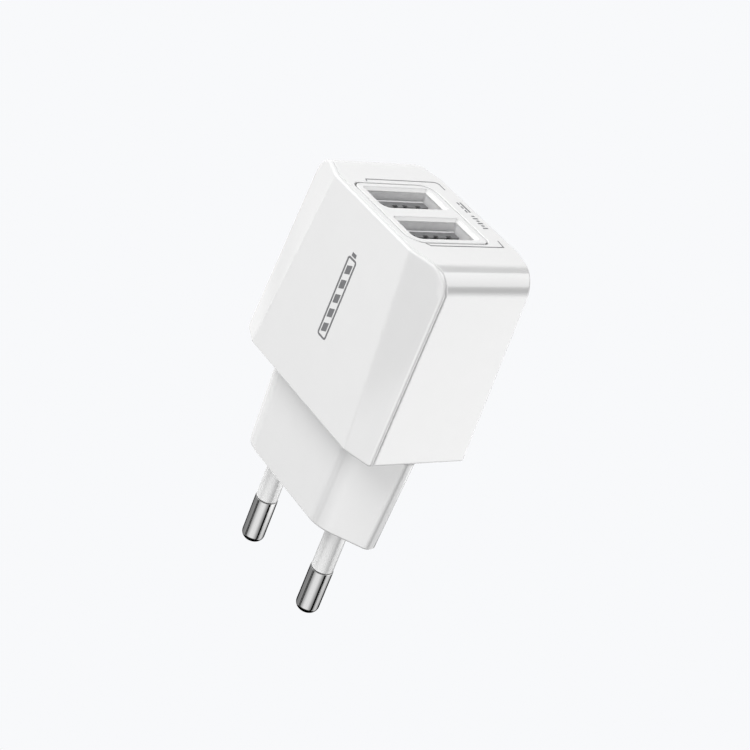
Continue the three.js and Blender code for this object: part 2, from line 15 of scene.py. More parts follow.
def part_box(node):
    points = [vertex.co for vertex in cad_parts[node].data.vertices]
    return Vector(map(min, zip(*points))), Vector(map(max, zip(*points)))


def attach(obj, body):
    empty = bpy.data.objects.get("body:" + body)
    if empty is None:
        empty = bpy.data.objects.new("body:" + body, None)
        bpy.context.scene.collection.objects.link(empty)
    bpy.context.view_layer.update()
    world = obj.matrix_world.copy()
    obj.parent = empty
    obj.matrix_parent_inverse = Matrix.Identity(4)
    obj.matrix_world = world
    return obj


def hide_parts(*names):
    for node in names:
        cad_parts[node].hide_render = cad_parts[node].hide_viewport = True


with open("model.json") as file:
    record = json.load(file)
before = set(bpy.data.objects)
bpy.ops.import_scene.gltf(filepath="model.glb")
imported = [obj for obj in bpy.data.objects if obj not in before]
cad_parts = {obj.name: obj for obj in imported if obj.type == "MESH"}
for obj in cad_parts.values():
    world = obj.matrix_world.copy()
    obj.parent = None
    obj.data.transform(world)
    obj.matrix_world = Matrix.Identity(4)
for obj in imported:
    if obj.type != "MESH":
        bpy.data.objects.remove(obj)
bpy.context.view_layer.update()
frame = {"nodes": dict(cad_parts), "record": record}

MM = 0.001
QUARTER = math.pi / 2  # a quarter turn


def box_mm(name):
    """A CAD node's lowest and highest corners, in millimetres."""
    low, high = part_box(name)
    return low / MM, high / MM


def middle_x(name):
    low, high = box_mm(name)
    return (low.x + high.x) / 2


# ---- sizes, from the frame and named here

housing_high = box_mm("rear_housing")[1]
cover_low, cover_high = box_mm("front_cover")
bezel_low = box_mm("port_bezel")[0]
board_low, board_high = box_mm("main_board")
PIN_X = middle_x("pin_right")
PORT_X = middle_x("usb_shell_right")
SIDES = (("left", -1), ("right", 1))

PRINT = 0.02  # a printed mark stands this far above the plastic
PRINT_ROOT = 0.03  # and starts this far below it
PAST = 1.0  # how far a cutter runs past what it cuts
SHY = 0.001  # keeps two faces that meet from lying in one plane
SHARPEST = 0.05  # the smallest rounding that an offset outline keeps
WELD = 1e-4  # points closer than this become one
CLEARANCE = 0.3  # the play between fitted parts

# Body: an eight-sided section that changes in straight lines from the bottom to the USB face.
BODY_BOTTOM = cover_low.z
BODY_TOP = cover_high.z - PRINT
BOTTOM = {
    "half_width": housing_high.x, "front": cover_low.y, "flat_half": 14.9, "front_corner": -8.6,
    "back": housing_high.y, "back_half": 12.6, "back_corner": 10.05,
}
TOP = {
    "half_width": 18.5, "front": -9.6, "flat_half": 10.9, "front_corner": -7.0,
    "back": housing_high.y, "back_half": 11.0, "back_corner": 9.65,
}
BODY_CORNER = 4.0  # the two long edges beside the USB face
FOOT_CORNER = 0.5  # the two lower corners
BACK_EDGE = 0.4  # the edges round the back
RIDGE = 0.35  # half the width over which two front facets blend
BACK_RIDGE = 0.8  # and two facets of the back
COVER_RIM = 0.35  # rounding of the cover's visible edge
COVER_SKIN = 0.46  # the rim in front of the seam, along the sides
COVER_SKIN_TOP = 0.68  # and along the USB face, where the seam is narrower
SEAM_END = 0.84  # the housing starts this far behind the front
SEAM_DEPTH = 0.35  # past this depth the two lap over each other
LAP_GAP = 0.03
HOUSING_RIM = 0.1  # rounding of the housing's edges at the seam and the groove
COVER_DEPTH = 1.6
COVER_EDGE = 2.1  # how far the cover's thick middle stays inside the outline
WALL = 1.8
RAIL = {"half_x": 1.3, "half_y": 0.4, "radii": (0.1,) * 4}
RAIL_OFFSET = 0.7  # from the main board's edge, and from its faces, to a rail's middle
RAIL_END = 2.0  # the rails stop this far inside the board's two ends

BEZEL = {"half_x": 8.7, "half_y": 7.5, "radii": (2.6, 1.3, 2.6, 1.3)}
BEZEL_GROOVE = 0.3
BEZEL_EDGE = 0.16
BEZEL_LIP = 0.7  # the thin part of the bezel over the pocket round a port's shell
EAR = {"half_x": 9.6, "half_y": 4.5, "radii": (0.3,) * 4}
MOUTH = {"half_x": 3.22, "half_y": 6.35, "radii": (1.5, 0.4, 0.4, 0.4)}
MOUTH_FLOOR = {"half_x": 2.87, "half_y": 6.05, "radii": (1.4, 0.35, 0.35, 0.35)}
MOUTH_SLOPE_DEPTH = 0.56  # the mouth widens from this depth upwards
MOUTH_EDGE = 0.12

NECK = {"half_x": 15.5, "half_y": 4.9, "radii": (3.8,) * 4}
NECK_WALL = 1.4
FLANGE_WIDTH = 0.7
FLANGE_THICKNESS = 0.8
PLUG_FACE = {"half_width": 18.0, "end_half": 0.8, "flat_half": 11.4, "half_depth": 6.6}
PLUG_ROOT = {"half_width": 19.0, "end_half": 0.8, "flat_half": 11.9, "half_depth": 6.7}
PLUG_TOP = BODY_BOTTOM - CLEARANCE
PLUG_WALL = 1.6
PLUG_FACE_WALL = 2.4
PLUG_FACE_EDGE = 0.45
PLUG_ROOT_EDGE = 0.2
PLUG_RIDGE_RADIUS = 7.0  # the soft ridges between the flats and the slanting sides
PLUG_END_RADIUS = 1.3
PIN_HOLE_GAP = 0.12
PIN_HOLE_EDGE = 0.15

PIN_RADIUS = 2.0
PIN_CORE = 1.2
PIN_TIP = 1.4
PIN_HEAD = {"radius": 2.4, "height": 1.8, "edge": 0.2}
PIN_STEP_GAP = 0.06  # between the pin's shoulder and its sleeve
PIN_STEP_EDGE = 0.12  # the rounding of both
SLEEVE_RADIUS = 1.9
SLEEVE_COLLAR = 2.8
CORE_GAP = 0.1  # between the pin's core and its sleeve

SHELL_WALL = 0.3
SHELL_CORNER = 0.7
SHELL_EDGE = 0.08
SHELL_RISE = 0.27  # the drawn steel edge comes up to just under the bezel's lip
FINGER_Y = (-3.2, 3.2)  # the spring fingers in each long wall of a port's shell
FINGER_HALF = 0.75
FINGER_THICKNESS = 0.2
FINGER_BOW = [(0.0, 40.8), (0.25, 42.6), (0.6, 44.6), (0.62, 45.6), (0.25, 46.6)]  # (inwards, z)
WINDOW = {"reach": 4.0, "half_y": 1.0, "bottom": 40.8, "top": 46.9}  # round each finger
INSULATOR_SHOULDER = 41.4  # where the tongue rises from its block
INSULATOR_EDGE = 0.1
TONGUE = {"back": -2.2, "front": -0.36, "half_y": 5.55, "edge": 0.12}
# The steel plate on the tongue's back: how far it starts above the block, stays clear of the
# plastic in front of it and stands above that plastic.
PLATE = {"thickness": 0.32, "edge": 0.05, "foot": 0.1, "gap": 0.02, "proud": 0.02}
TONGUE_RISE = 0.3  # the drawn tongue comes this much closer to the mouth
SLOT = {"back": -1.62, "side_gap": 0.3, "roof": 0.3, "foot": 0.5}  # behind and beside each contact
TAIL_COVER = 0.01  # the block closes this far behind the tongue's front, over a tail
NOTCH_BACK = -0.87
CONTACT_Y = (-3.5, -1.0, 1.0, 3.5)
CONTACT_WIDTH = 1.0
CONTACT_THICKNESS = 0.2
CONTACT_EDGE = 0.04
CONTACT_ROOT = (-0.92, 41.3)  # x from the port's middle, and z
CONTACT_TAIL = 0.4  # the tail stays straight this far above the root
CONTACT_BOW = [(0.85, 4.6), (1.1, 5.7), (0.85, 6.6)]  # (towards the plug, up) from the root
CONTACT_TIP = 0.1  # the tip ends this far out from the root
CONTACT_TIP_TAPER = 0.7

# Printed marks: X and Y on the USB face, X and Z on the front.
BRACKET_LINE = 0.2
LEFT_BRACKET = [(-9.25, -4.6), (-9.95, -4.35), (-9.95, 9.1)]
LEFT_BRACKET_ARC = {"centre": (-9.15, 9.1), "radius": 0.8}
LEFT_BRACKET_END = (-7.6, 9.9)
RIGHT_BRACKET = [(9.0, -5.3), (9.74, -4.75), (9.74, 9.55), (7.8, 9.75)]
MARK_LINE = 0.3
LONG_DASH = {"left": -3.7, "right": -0.7, "y": 10.25}
SHORT_DASHES = {"count": 3, "left": -3.7, "length": 0.7, "pitch": 1.15, "y": 9.65}
TICKS = {"count": 6, "left": 0.5, "pitch": 0.72, "y": 9.95, "halves": (0.3, 0.5)}
BATTERY = {"x": 0.2, "bottom": 29.0, "top": 43.3, "half": 1.2, "corner": 0.55, "line": 0.34}
KNOB = {"half": 0.55, "gap": 0.22, "top": 0.85}
BARS = {"count": 5, "half": 0.6, "first": 0.85, "pitch": 2.6, "height": 1.5, "lean": 0.55}


# ---- mesh building

def added(name, data):
    """A new object in the scene."""
    made = bpy.data.objects.new(name, data)
    bpy.context.scene.collection.objects.link(made)
    return made


def even(first, last, steps):
    """steps + 1 evenly spaced numbers from first to last."""
    return [first + (last - first) * i / steps for i in range(steps + 1)]


def quarter_round(radius, steps=5):
    """(inwards, along) pairs round a quarter circle, from the flat face to the side."""
    return [(radius * (1 - math.sin(a)), radius * (1 - math.cos(a))) for a in even(0, QUARTER, steps)]


class Solid:
    """Points and faces of one mesh, in millimetres unless a stage piece takes them as metres."""

    def __init__(self):
        self.points = []
        self.faces = []

    def add(self, points):
        first = len(self.points)
        self.points.extend(points)
        return list(range(first, len(self.points)))

    def band(self, ring, other):
        """A closed band of quads between two rings of the same length."""
        for i in range(len(ring)):
            j = (i + 1) % len(ring)
            self.faces.append((ring[i], ring[j], other[j], other[i]))

    def rings(self, rings, closed_ends=True):
        """Bands through a list of rings of points, with a flat face at each end."""
        made = [self.add(ring) for ring in rings]
        for ring, other in zip(made, made[1:]):
            self.band(ring, other)
        if closed_ends:
            self.faces.append(tuple(made[0]))
            self.faces.append(tuple(made[-1]))
        return self

    def patch(self, rows):
        """A grid of quads over rows of points."""
        made = [self.add(row) for row in rows]
        for low, high in zip(made, made[1:]):
            for i in range(len(low) - 1):
                self.faces.append((low[i], low[i + 1], high[i + 1], high[i]))
        return self

    def object(self, name):
        """The mesh as a Blender object, in metres, with doubled points merged and normals outwards."""
        mesh = bpy.data.meshes.new(name)
        mesh.from_pydata([[MM * c for c in p] for p in self.points], [], self.faces)
        work = bmesh.new()
        work.from_mesh(mesh)
        bmesh.ops.remove_doubles(work, verts=work.verts, dist=WELD * MM)
        bmesh.ops.dissolve_degenerate(work, edges=work.edges, dist=WELD * MM)
        bmesh.ops.recalc_face_normals(work, faces=work.faces)
        work.to_mesh(mesh)
        work.free()
        return added(name, mesh)


def boolean(target, tools, operation):
    """target joined with, or cut by, each tool in turn; the tools are used up."""
    for tool in tools:
        step = target.modifiers.new(operation, "BOOLEAN")
        step.operation = operation
        step.object = tool
        step.solver = "EXACT"
        evaluated = target.evaluated_get(bpy.context.evaluated_depsgraph_get())
        result = bpy.data.meshes.new_from_object(evaluated)
        target.modifiers.clear()
        target.data = result
        bpy.data.objects.remove(tool)
    return target


def cut(target, *tools):
    return boolean(target, tools, "DIFFERENCE")


def join(target, *tools):
    return boolean(target, tools, "UNION")


def moved(piece, x, y=0.0):
    piece.data.transform(Matrix.Translation((x * MM, y * MM, 0.0)))
    return piece


def smoothed(piece, crease=32):
    """Smooth shading with sharp edges above a crease angle, and normals that favour large faces."""
    piece.data.shade_smooth()
    piece.data.set_sharp_from_angle(angle=math.radians(crease))
    weighted = piece.modifiers.new("normals", "WEIGHTED_NORMAL")
    weighted.keep_sharp = True
    weighted.weight = 80
    return piece


def settle(piece, slot, body="root", replaces=()):
    """Gives a new piece its slot's finish and its body, and hides the CAD nodes that it stands for."""
    piece.data.materials.clear()
    piece.data.materials.append(MATERIALS[slot])
    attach(piece, body)
    if replaces:
        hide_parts(*replaces)


def rounded_ring(outline, grow, z, steps=8):
    """A rectangle seen from above, its corners rounded one by one from (+x, -y) anticlockwise."""
    points = []
    signs = ((1, -1), (1, 1), (-1, 1), (-1, -1))
    for turn, ((sign_x, sign_y), corner) in enumerate(zip(signs, outline["radii"])):
        radius = max(corner + grow, SHARPEST)
        centre_x = sign_x * (outline["half_x"] + grow - radius)
        centre_y = sign_y * (outline["half_y"] + grow - radius)
        for angle in even((turn - 1) * QUARTER, turn * QUARTER, steps):
            points.append((centre_x + radius * math.cos(angle), centre_y + radius * math.sin(angle), z))
    return points


def column(name, outline, stops, steps=8):
    """A rounded rectangle carried up through (grow, z) stops."""
    return Solid().rings([rounded_ring(outline, grow, z, steps) for grow, z in stops]).object(name)


def turned(name, profile, steps=48):
    """A shape turned about Z from (radius, z) points; the profile's ends are on the axis or meet."""
    made = Solid()
    rings = []
    for radius, z in profile:
        angles = [2 * math.pi * i / steps for i in range(steps)]
        rings.append(made.add([(radius * math.cos(a), radius * math.sin(a), z) for a in angles]))
    for ring, other in zip(rings, rings[1:]):
        made.band(ring, other)
    return made.object(name)


def moved_in(points, distance):
    """A convex outline (anticlockwise) with every edge moved inwards."""
    edges = []
    for (x, y), (next_x, next_y) in zip(points, points[1:] + points[:1]):
        length = math.hypot(next_x - x, next_y - y)
        normal = (-(next_y - y) / length, (next_x - x) / length)
        edges.append((normal, normal[0] * x + normal[1] * y + distance))
    moved_points = []
    for i, ((c, d), offset) in enumerate(edges):
        (a, b), before = edges[i - 1]
        det = a * d - b * c
        moved_points.append(((before * d - b * offset) / det, (a * offset - before * c) / det))
    return moved_points


def filleted(points, radii, z, steps=8):
    """A convex outline as a ring at height z, each corner rounded to its own radius."""
    ring = []
    for i, corner in enumerate(points):
        here = Vector(corner)
        to_last = (Vector(points[i - 1]) - here).normalized()
        to_next = (Vector(points[(i + 1) % len(points)]) - here).normalized()
        half_angle = to_last.angle(to_next) / 2
        radius = max(radii[i], SHARPEST)
        centre = here + (to_last + to_next).normalized() * (radius / math.sin(half_angle))
        start = here + to_last * (radius / math.tan(half_angle)) - centre
        end = here + to_next * (radius / math.tan(half_angle)) - centre
        sweep = start.angle(end)
        for angle in even(0, sweep, steps):
            x = start.x * math.cos(angle) - start.y * math.sin(angle)
            y = start.x * math.sin(angle) + start.y * math.cos(angle)
            ring.append((centre.x + x, centre.y + y, z))
    return ring


# ---- the body's surfaces

LEAN = math.atan2(BOTTOM["half_width"] - TOP["half_width"], BODY_TOP - BODY_BOTTOM)
# Each face's keys in BOTTOM and TOP (middle, ridge, corner), its ridges' half width, and inwards in Y.
FACES = {
    "front": ("front", "flat_half", "front_corner", RIDGE, 1),
    "back": ("back", "back_half", "back_corner", BACK_RIDGE, -1),
}


def at_height(key, z):
    share = (z - BODY_BOTTOM) / (BODY_TOP - BODY_BOTTOM)
    return BOTTOM[key] + (TOP[key] - BOTTOM[key]) * share


def eased(distance, reach):
    """0 well before a ridge, the distance well past it, and a parabola between."""
    if distance <= -reach:
        return 0.0
    if distance >= reach:
        return distance
    return (distance + reach) ** 2 / (4 * reach)


def face_y(face, x, z):
    """The front or the back: a flat with a slanting facet at each side."""
    middle, ridge, corner, reach, _ = FACES[face]
    run = at_height("half_width", z) - at_height(ridge, z)
    slope = (at_height(corner, z) - at_height(middle, z)) / run
    return at_height(middle, z) + slope * eased(abs(x) - at_height(ridge, z), reach)


def side_points(inset):
    """(half width, z) points up the right side of the body's front view, moved in by inset."""
    foot = max(FOOT_CORNER - inset, SHARPEST)
    head = max(BODY_CORNER - inset, SHARPEST)
    foot_z = BODY_BOTTOM + inset + foot
    head_z = BODY_TOP - inset - head
    foot_x = at_height("half_width", foot_z) - (foot + inset) / math.cos(LEAN)
    head_x = at_height("half_width", head_z) - (head + inset) / math.cos(LEAN)
    foot_arc = [(foot_x + foot * math.cos(a), foot_z + foot * math.sin(a)) for a in even(-QUARTER, LEAN, 5)]
    head_arc = [(head_x + head * math.cos(a), head_z + head * math.sin(a)) for a in even(LEAN, QUARTER, 20)]
    side = zip(even(foot_arc[-1][0], head_arc[0][0], 14), even(foot_arc[-1][1], head_arc[0][1], 14))
    return foot_arc[:-1] + list(side) + head_arc[1:]


def across(half, ridge, reach):
    """x positions from -half to half, closer together where two facets meet."""
    right = even(0, ridge - reach, 6) + even(ridge - reach, ridge + reach, 4)[1:]
    right += even(ridge + reach, half, 5)[1:]
    return [-x for x in reversed(right[1:])] + right


def skin(z):
    """The depth of the cover's back edge at a height."""
    share = min(max((z - BODY_TOP + BODY_CORNER) / BODY_CORNER, 0.0), 1.0)
    return COVER_SKIN + (COVER_SKIN_TOP - COVER_SKIN) * share ** 3


def lap(z):
    """The depth at which the housing starts again under the cover's rim."""
    return skin(z) + LAP_GAP


def rows(inset, face, behind):
    """Rows of points over a face, behind its surface by a depth or a function of z."""
    _, ridge, _, reach, inwards = FACES[face]
    grid = []
    for half, z in side_points(inset):
        depth = inwards * (behind(z) if callable(behind) else behind)
        xs = across(half, at_height(ridge, z), reach)
        grid.append([(x, face_y(face, x, z) + depth, z) for x in xs])
    return grid


def rim(inset, face, behind):
    """The closed edge of those rows, anticlockwise from the lower left."""
    grid = rows(inset, face, behind)
    right = [row[-1] for row in grid[1:-1]]
    left = [row[0] for row in reversed(grid[1:-1])]
    return grid[0] + right + list(reversed(grid[-1])) + left


# ---- casing

def front_cover():
    """The faceted plate: a rounded rim in front of the seam and a thicker middle behind it."""
    edge = [rim(inward, "front", along) for inward, along in quarter_round(COVER_RIM)]
    behind = [rim(0, "front", skin), rim(COVER_EDGE, "front", skin), rim(COVER_EDGE, "front", COVER_DEPTH)]
    plate = Solid().rings(edge + behind, closed_ends=False)
    plate.patch(rows(COVER_RIM, "front", 0))
    plate.patch(rows(COVER_EDGE, "front", COVER_DEPTH))
    return plate.object("charger_front_cover")


def housing_shell():
    """A box open to the front, rounded at the seam and round its back."""
    seam_edge = [rim(inward, "front", SEAM_END + along) for inward, along in quarter_round(HOUSING_RIM, 3)]
    back_edge = [rim(inward, "back", along) for inward, along in reversed(quarter_round(BACK_EDGE, 8))]
    inside = [
        rim(WALL, "back", WALL), rim(WALL, "front", lap),
        rim(SEAM_DEPTH, "front", lap), rim(SEAM_DEPTH, "front", SEAM_END),
    ]
    shell = Solid()
    made = [shell.add(ring) for ring in inside + seam_edge + back_edge]
    for ring, other in zip(made, made[1:]):
        shell.band(ring, other)
    shell.patch(rows(BACK_EDGE, "back", 0))
    shell.patch(rows(WALL, "back", WALL))
    return shell.object("charger_rear_housing")


def board_rail(sign, y):
    """One rail inside a side wall, beside an edge of the main board."""
    rail = column("rail", RAIL, [(0, board_low.z + RAIL_END), (0, board_high.z - RAIL_END)], steps=2)
    return moved(rail, sign * (board_high.x + RAIL_OFFSET), y)


def rear_housing():
    """The housing with its window for the bezel, its hole for the plug's neck and the board's rails."""
    shell = housing_shell()
    window = [(BEZEL_GROOVE, BODY_TOP - WALL - PAST), (BEZEL_GROOVE, BODY_TOP - HOUSING_RIM)]
    window += [(BEZEL_GROOVE + HOUSING_RIM, BODY_TOP), (BEZEL_GROOVE + HOUSING_RIM, BODY_TOP + PAST)]
    neck_hole = [(CLEARANCE, BODY_BOTTOM - PAST), (CLEARANCE, BODY_BOTTOM + WALL + PAST)]
    cut(shell, column("window", BEZEL, window), column("hole", NECK, neck_hole))
    rail_ys = (board_low.y - RAIL_OFFSET, board_high.y + RAIL_OFFSET)
    return join(shell, *[board_rail(sign, y) for sign in (-1, 1) for y in rail_ys])


def mouth_cutter(sign):
    """A mouth that widens upwards through the bezel's lip, with a rounded upper edge."""
    rings = [rounded_ring(MOUTH_FLOOR, 0, z) for z in (bezel_low.z - PAST, BODY_TOP - MOUTH_SLOPE_DEPTH)]
    for a in even(0, QUARTER, 4):
        outwards, down = MOUTH_EDGE * (1 - math.cos(a)), MOUTH_EDGE * (1 - math.sin(a))
        rings.append(rounded_ring(MOUTH, outwards, BODY_TOP - down))
    rings.append(rounded_ring(MOUTH, MOUTH_EDGE, BODY_TOP + PAST))
    return moved(Solid().rings(rings).object("mouth"), sign * PORT_X)


def shell_outline():
    """A port shell's outer outline, round its own middle."""
    low, high = box_mm("usb_shell_right")
    half_x, half_y = (high.x - low.x) / 2, (high.y - low.y) / 2
    return {"half_x": half_x, "half_y": half_y, "radii": (SHELL_CORNER,) * 4}


def port_bezel():
    """The plate round both ports, with softly rounded edges and a pocket behind each mouth."""
    edge = [(-inward, BODY_TOP - along) for inward, along in reversed(quarter_round(BEZEL_EDGE, 4))]
    plate = column("charger_port_bezel", BEZEL, [(0, bezel_low.z)] + edge)
    join(plate, column("ears", EAR, [(0, bezel_low.z), (0, BODY_TOP - WALL - CLEARANCE)], steps=3))
    for sign in (-1, 1):
        pocket = [(CLEARANCE, bezel_low.z - PAST), (CLEARANCE, BODY_TOP - BEZEL_LIP)]
        cut(plate, mouth_cutter(sign), moved(column("pocket", shell_outline(), pocket), sign * PORT_X))
    return plate


# ---- plug

def plug_outline(z, inset):
    """The plug's flattened hexagon with blunt ends, at one height."""
    share = z / PLUG_TOP
    width, end, flat, depth = (
        PLUG_FACE[key] + (PLUG_ROOT[key] - PLUG_FACE[key]) * share
        for key in ("half_width", "end_half", "flat_half", "half_depth")
    )
    quarter = [(flat, depth), (width, end)]
    right = [(x, -y) for x, y in quarter] + list(reversed(quarter))
    left = [(-x, -y) for x, y in right]
    return moved_in(right + left, inset)


def plug_ring(z, inset):
    ridge = PLUG_RIDGE_RADIUS - inset
    end = PLUG_END_RADIUS - inset
    return filleted(plug_outline(z, inset), (ridge, end, end, ridge) * 2, z)


def plug_shell():
    """The hollow plug body with the neck and flange that hold it in the housing's floor."""
    face = [plug_ring(along, inward) for inward, along in quarter_round(PLUG_FACE_EDGE, 8)]
    sides = [plug_ring(z, 0) for z in even(PLUG_FACE_EDGE, PLUG_TOP - PLUG_ROOT_EDGE, 8)[1:]]
    root = plug_ring(PLUG_TOP, PLUG_ROOT_EDGE)
    body = Solid().rings(face + sides + [root]).object("charger_plug_shell")
    flange_low = BODY_BOTTOM + WALL + CLEARANCE
    flange_high = flange_low + FLANGE_THICKNESS
    join(
        body,
        column("neck", NECK, [(0, PLUG_TOP - PAST), (0, flange_high)]),
        column("flange", NECK, [(FLANGE_WIDTH, flange_low), (FLANGE_WIDTH, flange_high - SHY)]),
    )
    hollow_top = PLUG_TOP - PLUG_WALL
    hollow = [plug_ring(z, PLUG_WALL) for z in even(PLUG_FACE_WALL, hollow_top, 3)]
    cut(
        body,
        Solid().rings(hollow).object("hollow"),
        column("bore", NECK, [(-NECK_WALL, hollow_top - PAST), (-NECK_WALL, flange_high + PAST)]),
    )
    radius = SLEEVE_RADIUS + PIN_HOLE_GAP
    edge = PIN_HOLE_EDGE
    hole = [(0, -PAST), (radius + edge, -PAST), (radius + edge, 0), (radius, edge)]
    hole += [(radius, PLUG_FACE_WALL + PAST), (0, PLUG_FACE_WALL + PAST)]
    return cut(body, moved(turned("hole", hole), -PIN_X), moved(turned("hole", hole), PIN_X))


def pin(side, sign):
    """A round pin: its tip, its shoulder under the sleeve, its thinner core and its head."""
    low, high = box_mm(f"pin_{side}")
    shoulder = box_mm(f"pin_sleeve_{side}")[0].z - PIN_STEP_GAP
    radius, edge = PIN_HEAD["radius"], PIN_HEAD["edge"]
    head_low = high.z - PIN_HEAD["height"]
    tip = [(PIN_RADIUS - inward, low.z + along) for inward, along in quarter_round(PIN_TIP, 10)]
    step = reversed(quarter_round(PIN_STEP_EDGE, 3))
    neck = [(PIN_RADIUS - inward, shoulder - along) for inward, along in step]
    head = [(PIN_CORE, head_low), (radius, head_low), (radius, high.z - edge), (radius - edge, high.z)]
    profile = [(0, low.z)] + tip + neck + [(PIN_CORE, shoulder)] + head + [(0, high.z)]
    return moved(turned(f"charger_pin_{side}", profile), sign * PIN_X)


def pin_sleeve(side, sign):
    """The white sleeve round a pin's core, with a collar above the plug's face."""
    low, high = box_mm(f"pin_sleeve_{side}")
    bore = PIN_CORE + CORE_GAP
    collar_low = PLUG_FACE_WALL + CLEARANCE
    end = [(SLEEVE_RADIUS - inward, low.z + along) for inward, along in quarter_round(PIN_STEP_EDGE, 3)]
    collar = [(SLEEVE_RADIUS, collar_low), (SLEEVE_COLLAR, collar_low), (SLEEVE_COLLAR, high.z)]
    profile = [(bore, low.z)] + end + collar + [(bore, high.z), (bore, low.z)]
    return moved(turned(f"charger_pin_sleeve_{side}", profile), sign * PIN_X)


# ---- USB ports

def block(name, low, high, edge=0.0):
    """A box between two corners, its upper edges and upright corners rounded by edge."""
    centre = [(a + b) / 2 for a, b in zip(low, high)]
    half_x, half_y = (high[0] - low[0]) / 2, (high[1] - low[1]) / 2
    outline = {"half_x": half_x, "half_y": half_y, "radii": (edge,) * 4}
    stops = [(0, low[2])]
    if edge:
        stops += [(-inward, high[2] - along) for inward, along in reversed(quarter_round(edge, 4))]
    else:
        stops.append((0, high[2]))
    return moved(column(name, outline, stops, steps=4 if edge else 1), centre[0], centre[1])


def spring_finger(sign, y):
    """A leaf cut free from a long wall on three sides and bent into the port."""
    outside = sign * shell_outline()["half_x"]
    half = FINGER_HALF
    rings = []
    for inward, z in smooth_path(FINGER_BOW, 4):
        x = outside - sign * inward
        inner = x - sign * FINGER_THICKNESS
        rings.append([(x, y - half, z), (x, y + half, z), (inner, y + half, z), (inner, y - half, z)])
    return Solid().rings(rings).object("finger")


def smooth_path(points, steps):
    """A Catmull-Rom curve through flat points."""
    ends = [points[0]] + list(points) + [points[-1]]
    path = []
    for a, b, c, d in zip(ends, ends[1:], ends[2:], ends[3:]):
        for t in even(0, 1, steps)[:-1]:
            path.append(tuple(
                0.5 * (
                    2 * q + (r - p) * t
                    + (2 * p - 5 * q + 4 * r - s) * t ** 2 + (3 * q - p - 3 * r + s) * t ** 3
                )
                for p, q, r, s in zip(a, b, c, d)
            ))
    return path + [points[-1]]


def usb_shell(side, sign):
    """The folded steel tube, with two spring fingers in each long wall."""
    low, high = box_mm(f"usb_shell_{side}")
    outline = shell_outline()
    top = high.z + SHELL_RISE
    bevel = top - SHELL_EDGE
    tube = column(f"charger_usb_shell_{side}", outline, [(0, low.z), (0, bevel), (-SHELL_EDGE, top)])
    bore = [(-SHELL_WALL, low.z - PAST), (-SHELL_WALL, bevel)]
    bore += [(SHELL_EDGE - SHELL_WALL, top), (SHELL_EDGE - SHELL_WALL, top + PAST)]
    cut(tube, column("bore", outline, bore))
    reach, half = WINDOW["reach"], WINDOW["half_y"]
    for y in FINGER_Y:
        cut(tube, block("window", (-reach, y - half, WINDOW["bottom"]), (reach, y + half, WINDOW["top"])))
    join(tube, *[spring_finger(wall, y) for wall in (-1, 1) for y in FINGER_Y])
    return moved(tube, sign * PORT_X)


def usb_insulator(side, sign):
    """The moulded block and its tongue, with a slot for each contact and a notch above each slot."""
    low, high = box_mm(f"usb_insulator_{side}")
    shoulder = INSULATOR_SHOULDER
    half_x, half_y = (high.x - low.x) / 2, (high.y - low.y) / 2
    top = high.z + TONGUE_RISE
    corner = (half_x, half_y, shoulder)
    base = block(f"charger_usb_insulator_{side}", (-half_x, -half_y, low.z), corner, INSULATOR_EDGE)
    back, front, reach = TONGUE["back"] + PLATE["thickness"], TONGUE["front"], TONGUE["half_y"]
    join(base, block("tongue", (back, -reach, shoulder - PAST), (front, reach, top), TONGUE["edge"]))
    slot_back, slot_top = SLOT["back"], top - SLOT["roof"]
    half = CONTACT_WIDTH / 2
    wide = half + SLOT["side_gap"]
    tail_front, tail_top = front - TAIL_COVER, shoulder + SLOT["foot"]
    notch_low, past_front = slot_top - SLOT["foot"], front + PAST
    for y in CONTACT_Y:
        cut(
            base,
            block("tail", (slot_back, y - wide, low.z - PAST), (tail_front, y + wide, tail_top)),
            block("slot", (slot_back, y - wide, shoulder), (past_front, y + wide, slot_top)),
            block("notch", (NOTCH_BACK, y - half, notch_low), (past_front, y + half, top + PAST)),
        )
    return moved(base, sign * PORT_X)


def tongue_plate(side, sign):
    """The thin steel plate on the back of the tongue."""
    back, reach = TONGUE["back"], TONGUE["half_y"]
    low = INSULATOR_SHOULDER + PLATE["foot"]
    top = box_mm(f"usb_insulator_{side}")[1].z + TONGUE_RISE + PLATE["proud"]
    front = back + PLATE["thickness"] - PLATE["gap"]
    name = f"charger_tongue_plate_{side}"
    return moved(block(name, (back, -reach, low), (front, reach, top), PLATE["edge"]), sign * PORT_X)


def usb_contact(side, sign, number):
    """A leaf spring with softened edges: a straight tail, a bow for the plug and a tucked tip."""
    low, high = box_mm(f"usb_contact_{side}_{number}")
    root_x, root_z = CONTACT_ROOT
    bow = [(root_x, root_z + CONTACT_TAIL)]
    bow += [(root_x + out, root_z + up) for out, up in CONTACT_BOW]
    path = [(root_x, low.z)] + smooth_path(bow + [(root_x + CONTACT_TIP, high.z)], 6)
    half, thin, edge = CONTACT_WIDTH / 2, CONTACT_THICKNESS / 2, CONTACT_EDGE
    rings = []
    for i, (x, z) in enumerate(path):
        before, after = path[max(i - 1, 0)], path[min(i + 1, len(path) - 1)]
        along = Vector((after[0] - before[0], after[1] - before[1])).normalized()
        out = Vector((along.y, -along.x))
        taper = CONTACT_TIP_TAPER if i >= len(path) - 2 else 1.0
        section = [
            (thin - edge, -half), (thin, edge - half), (thin, half - edge), (thin - edge, half),
            (edge - thin, half), (-thin, half - edge), (-thin, edge - half), (edge - thin, -half),
        ]
        rings.append([(x + out.x * o, y * taper, z + out.y * o) for o, y in section])
    leaf = Solid().rings(rings).object(f"charger_usb_contact_{side}_{number}")
    return moved(leaf, sign * PORT_X, CONTACT_Y[number - 1])


# ---- printed marks

